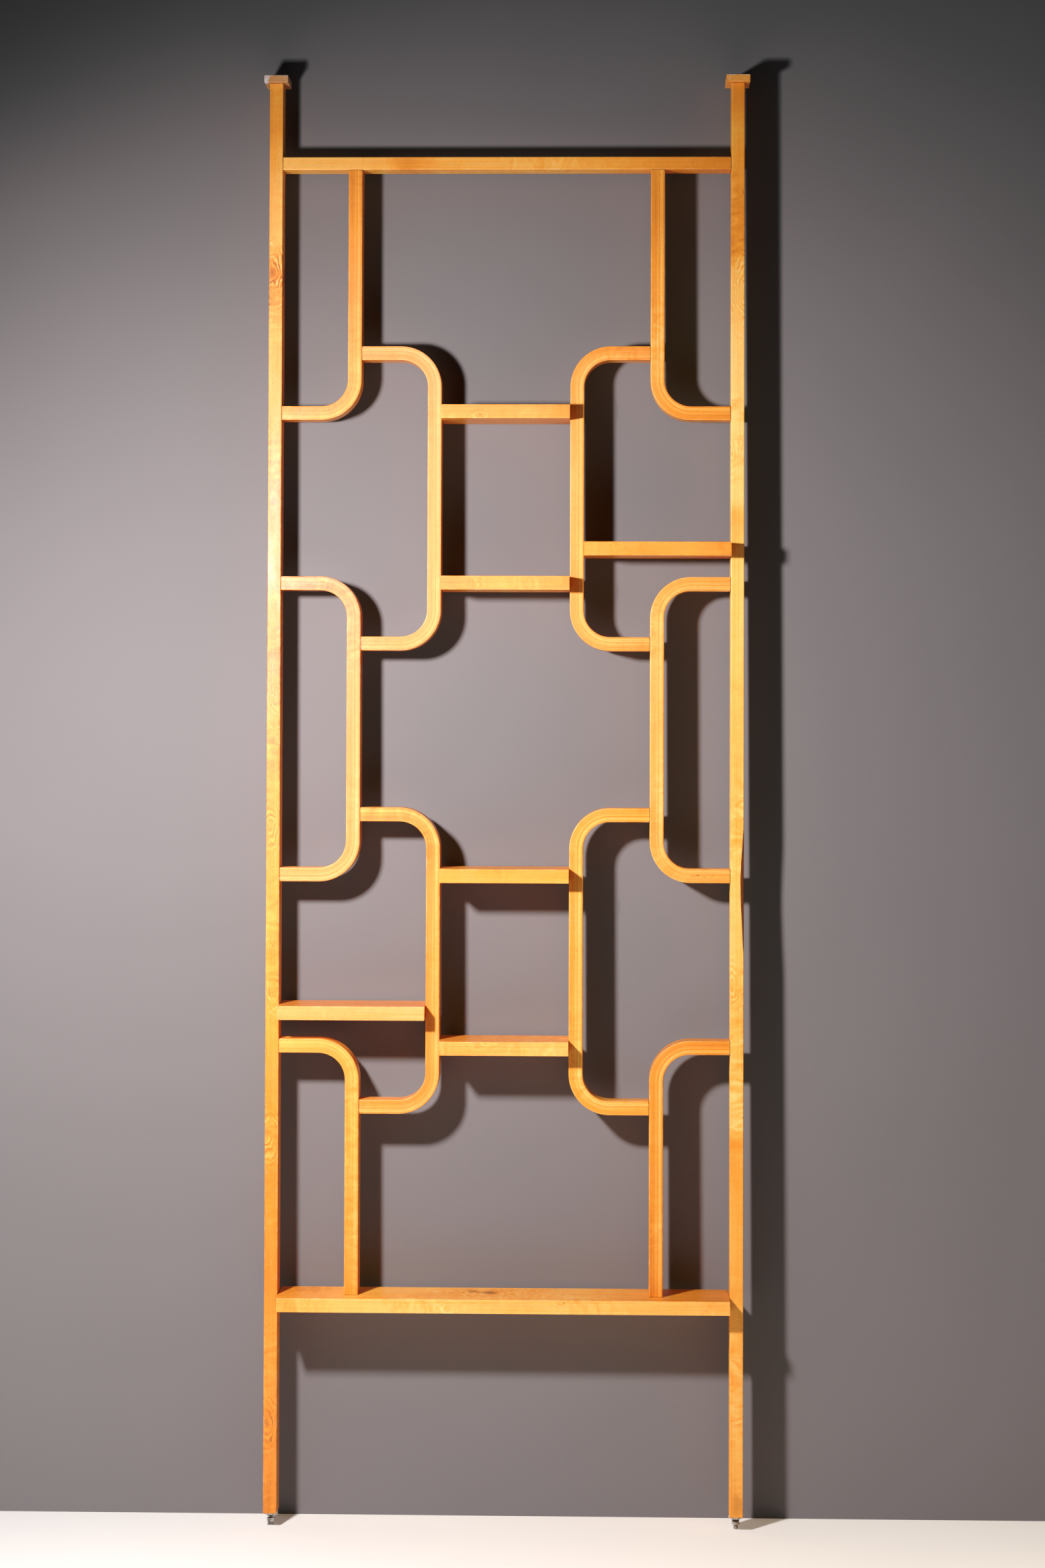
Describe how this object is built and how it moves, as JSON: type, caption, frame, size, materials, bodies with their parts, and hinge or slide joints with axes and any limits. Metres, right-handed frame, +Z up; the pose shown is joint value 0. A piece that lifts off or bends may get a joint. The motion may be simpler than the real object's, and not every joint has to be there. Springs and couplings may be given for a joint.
{
  "type": "room divider",
  "caption": "Floor-to-ceiling wooden room divider: posts on screw feet, ceiling caps, a top rail, a deep bottom shelf and a lattice of bent laminated loops with short shelves.",
  "frame": {"origin": "on the floor, midway between the two feet and in the middle of the frame's depth", "axes": "+Z up along the posts, +X to the right as the picture shows it, +Y from the front to the back"},
  "size_m": [0.874, 0.12, 2.5996],
  "materials": {
    "solid_wood": "honey-coloured satin lacquer over solid beech",
    "laminated_wood": "honey-coloured satin lacquer over bent laminations",
    "bare_wood": "bare, hidden in the joints",
    "worn_steel": "worn zinc plating"
  },
  "bodies": {
    "frame": {"left_post": "solid_wood", "right_post": "solid_wood", "left_ceiling_cap": "solid_wood", "right_ceiling_cap": "solid_wood", "top_rail": "solid_wood", "bottom_shelf": "solid_wood", "first_centre_shelf": "solid_wood", "second_centre_shelf": "solid_wood", "third_centre_shelf": "solid_wood", "fourth_centre_shelf": "solid_wood", "upper_right_shelf": "solid_wood", "lower_left_shelf": "solid_wood", "left_top_bend": "laminated_wood", "left_upper_loop": "laminated_wood", "left_middle_loop": "laminated_wood", "left_lower_loop": "laminated_wood", "left_bottom_bend": "laminated_wood", "right_top_bend": "laminated_wood", "right_upper_loop": "laminated_wood", "right_middle_loop": "laminated_wood", "right_lower_loop": "laminated_wood", "right_bottom_bend": "laminated_wood", "left_foot_collar": "worn_steel", "right_foot_collar": "worn_steel", "left_ceiling_cap_dowel": "bare_wood", "right_ceiling_cap_dowel": "bare_wood", "top_rail_left_dowel": "bare_wood", "top_rail_right_dowel": "bare_wood", "bottom_shelf_left_dowel_front": "bare_wood", "bottom_shelf_left_dowel_back": "bare_wood", "bottom_shelf_right_dowel_front": "bare_wood", "bottom_shelf_right_dowel_back": "bare_wood", "left_top_bend_top_rail_dowel": "bare_wood", "left_top_bend_post_dowel": "bare_wood", "left_upper_loop_top_dowel": "bare_wood", "left_upper_loop_bottom_dowel": "bare_wood", "left_middle_loop_top_dowel": "bare_wood", "left_middle_loop_bottom_dowel": "bare_wood", "left_lower_loop_top_dowel": "bare_wood", "left_lower_loop_bottom_dowel": "bare_wood", "left_bottom_bend_post_dowel": "bare_wood", "left_bottom_bend_bottom_shelf_dowel": "bare_wood", "right_top_bend_top_rail_dowel": "bare_wood", "right_top_bend_post_dowel": "bare_wood", "right_upper_loop_top_dowel": "bare_wood", "right_upper_loop_bottom_dowel": "bare_wood", "right_middle_loop_top_dowel": "bare_wood", "right_middle_loop_bottom_dowel": "bare_wood", "right_lower_loop_top_dowel": "bare_wood", "right_lower_loop_bottom_dowel": "bare_wood", "right_bottom_bend_post_dowel": "bare_wood", "right_bottom_bend_bottom_shelf_dowel": "bare_wood"},
    "left_foot_stud": {"left_foot_stud": "worn_steel"},
    "left_foot_nut": {"left_foot_nut": "worn_steel"},
    "right_foot_stud": {"right_foot_stud": "worn_steel"},
    "right_foot_nut": {"right_foot_nut": "worn_steel"}
  },
  "joints": [
    {"name": "left_foot_slide", "type": "slide", "parent": "frame", "child": "left_foot_stud", "axis": [0, 0, -1], "range_m": [-0.0036, 0.035]},
    {"name": "left_foot_turn", "type": "hinge", "parent": "left_foot_stud", "child": "left_foot_nut", "pos_m": [-0.4155, 0, 0.01005], "axis": [0, 0, -1], "range_deg": [-1037, 10081]},
    {"name": "right_foot_slide", "type": "slide", "parent": "frame", "child": "right_foot_stud", "axis": [0, 0, -1], "range_m": [-0.0017, 0.035]},
    {"name": "right_foot_turn", "type": "hinge", "parent": "right_foot_stud", "child": "right_foot_nut", "pos_m": [0.4155, 0, 0.01195], "axis": [0, 0, -1], "range_deg": [-490, 10081]}
  ],
  "couplings": [
    {"joint": "left_foot_turn", "follows": "left_foot_slide", "rad_per_m": 5026.5},
    {"joint": "right_foot_turn", "follows": "right_foot_slide", "rad_per_m": 5026.5}
  ]
}
